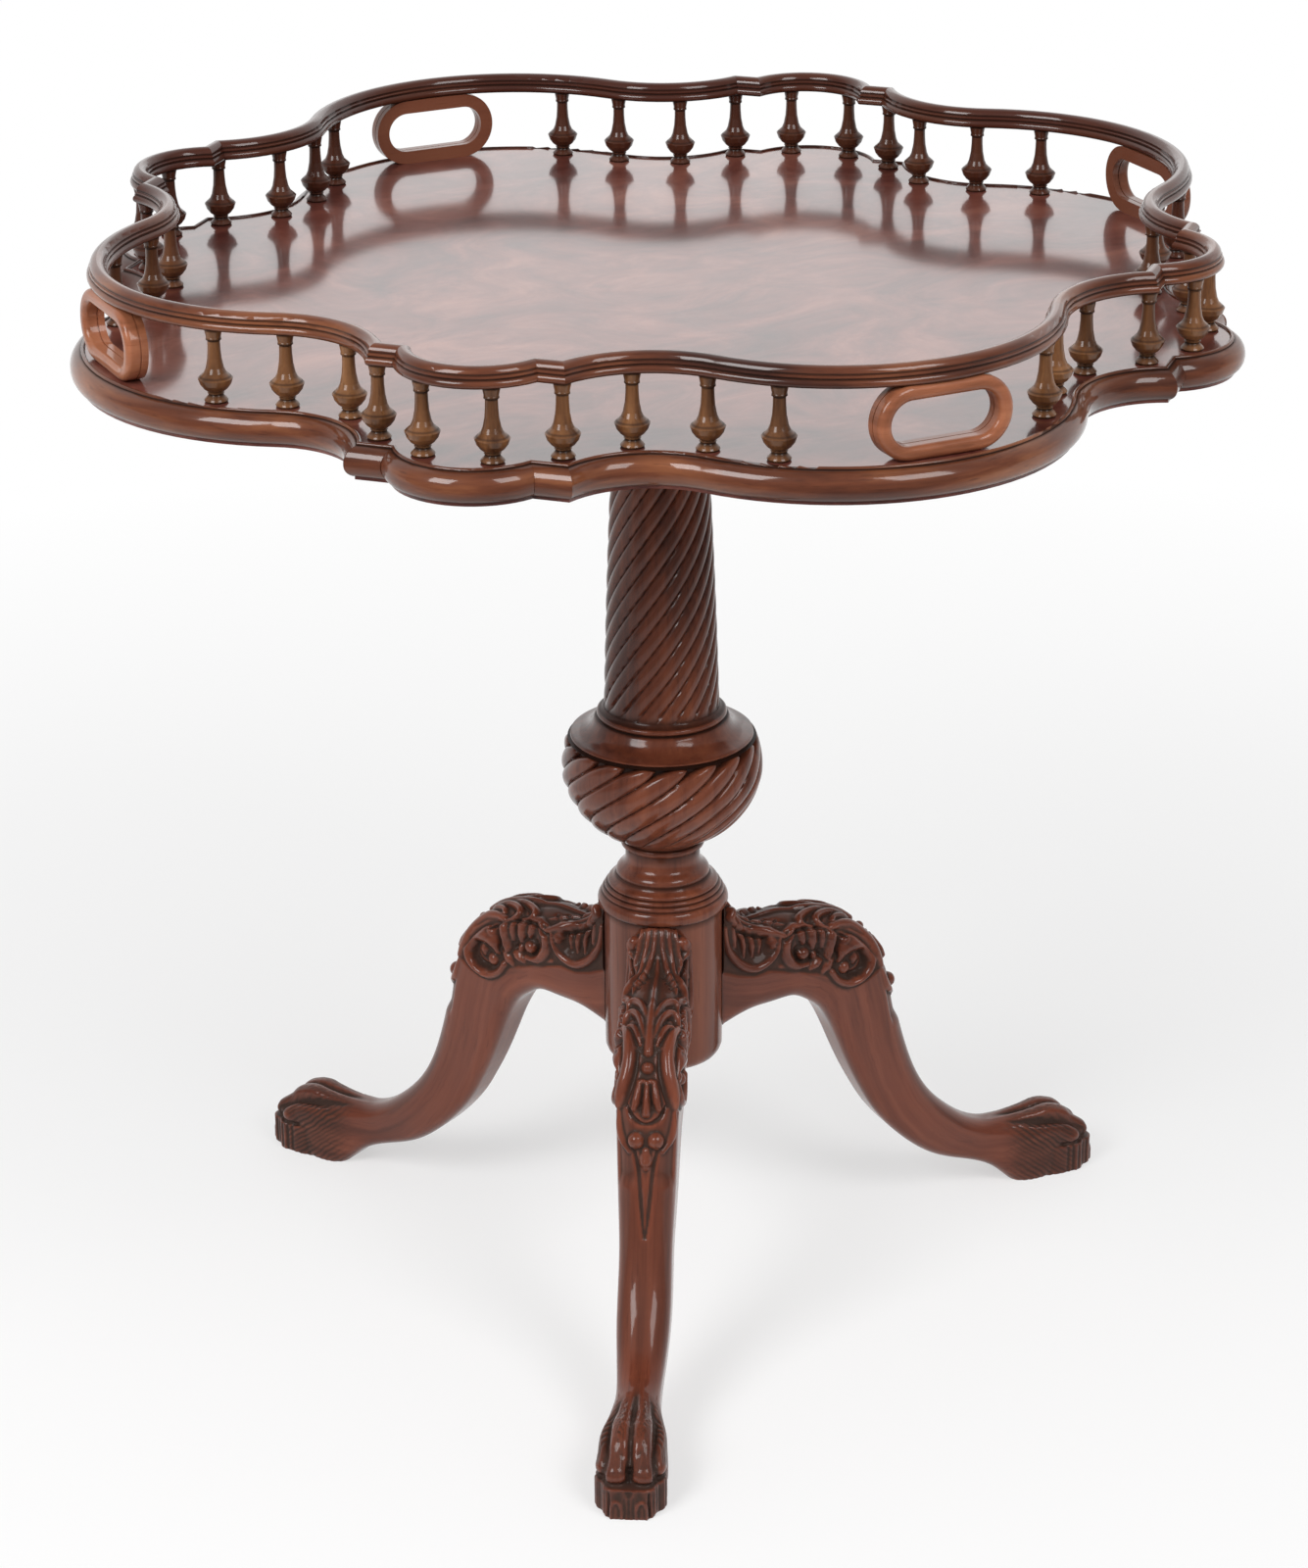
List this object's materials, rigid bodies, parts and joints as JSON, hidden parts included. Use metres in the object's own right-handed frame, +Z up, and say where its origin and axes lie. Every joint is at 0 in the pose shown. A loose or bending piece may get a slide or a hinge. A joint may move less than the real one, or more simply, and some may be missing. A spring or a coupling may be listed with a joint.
{
  "type": "tray top tea table",
  "caption": "Tripod tea table with a shaped, galleried tray top that tips up over a spiral reeded and gadrooned pillar on carved cabriole legs with paw feet",
  "frame": {"origin": "on the pillar's axis at the floor, under the middle of the tray", "axes": "+Z up; the handles lie on +X, +Y, -X and -Y; one leg points to +Y; the tray tips so that its -Y side goes down"},
  "size_m": [0.7438, 0.7438, 0.731],
  "materials": {
    "board_wood": "polished mottled mahogany",
    "moulding_wood": "polished mahogany",
    "spindle_wood": "polished mahogany",
    "handle_wood": "polished light mahogany",
    "pillar_wood": "polished carved mahogany",
    "bearer_wood": "unpolished mahogany",
    "screw_iron": "dark hand-cut iron",
    "catch_brass": "worn brass"
  },
  "bodies": {
    "base": {"pillar": "pillar_wood", "tilt_block": "bearer_wood", "strike_plate": "catch_brass", "strike_screws": "catch_brass", "leg_back": "pillar_wood", "leg_left": "pillar_wood", "leg_right": "pillar_wood"},
    "tray": {"tray_board": "board_wood", "edge_moulding": "moulding_wood", "gallery_rail": "moulding_wood", "spindle_01": "spindle_wood", "spindle_02": "spindle_wood", "spindle_03": "spindle_wood", "spindle_04": "spindle_wood", "spindle_05": "spindle_wood", "spindle_06": "spindle_wood", "spindle_07": "spindle_wood", "spindle_08": "spindle_wood", "spindle_09": "spindle_wood", "spindle_10": "spindle_wood", "spindle_11": "spindle_wood", "spindle_12": "spindle_wood", "spindle_13": "spindle_wood", "spindle_14": "spindle_wood", "spindle_15": "spindle_wood", "spindle_16": "spindle_wood", "spindle_17": "spindle_wood", "spindle_18": "spindle_wood", "spindle_19": "spindle_wood", "spindle_20": "spindle_wood", "spindle_21": "spindle_wood", "spindle_22": "spindle_wood", "spindle_23": "spindle_wood", "spindle_24": "spindle_wood", "spindle_25": "spindle_wood", "spindle_26": "spindle_wood", "spindle_27": "spindle_wood", "spindle_28": "spindle_wood", "spindle_29": "spindle_wood", "spindle_30": "spindle_wood", "spindle_31": "spindle_wood", "spindle_32": "spindle_wood", "spindle_33": "spindle_wood", "spindle_34": "spindle_wood", "spindle_35": "spindle_wood", "spindle_36": "spindle_wood", "spindle_37": "spindle_wood", "spindle_38": "spindle_wood", "spindle_39": "spindle_wood", "spindle_40": "spindle_wood", "handle_1": "handle_wood", "handle_2": "handle_wood", "handle_3": "handle_wood", "handle_4": "handle_wood", "bearer_left": "bearer_wood", "bearer_right": "bearer_wood", "bearer_screws": "screw_iron", "catch_plate": "catch_brass", "catch_screws": "catch_brass"},
    "catch": {"catch_bolt": "catch_brass"}
  },
  "joints": [
    {"name": "tray_tilt", "type": "hinge", "parent": "base", "child": "tray", "pos_m": [0, -0.075, 0.6397], "axis": [1, 0, 0], "range_deg": [0, 90]},
    {"name": "catch_slide", "type": "slide", "parent": "tray", "child": "catch", "axis": [0, -1, 0], "range_m": [0, 0.01]}
  ]
}
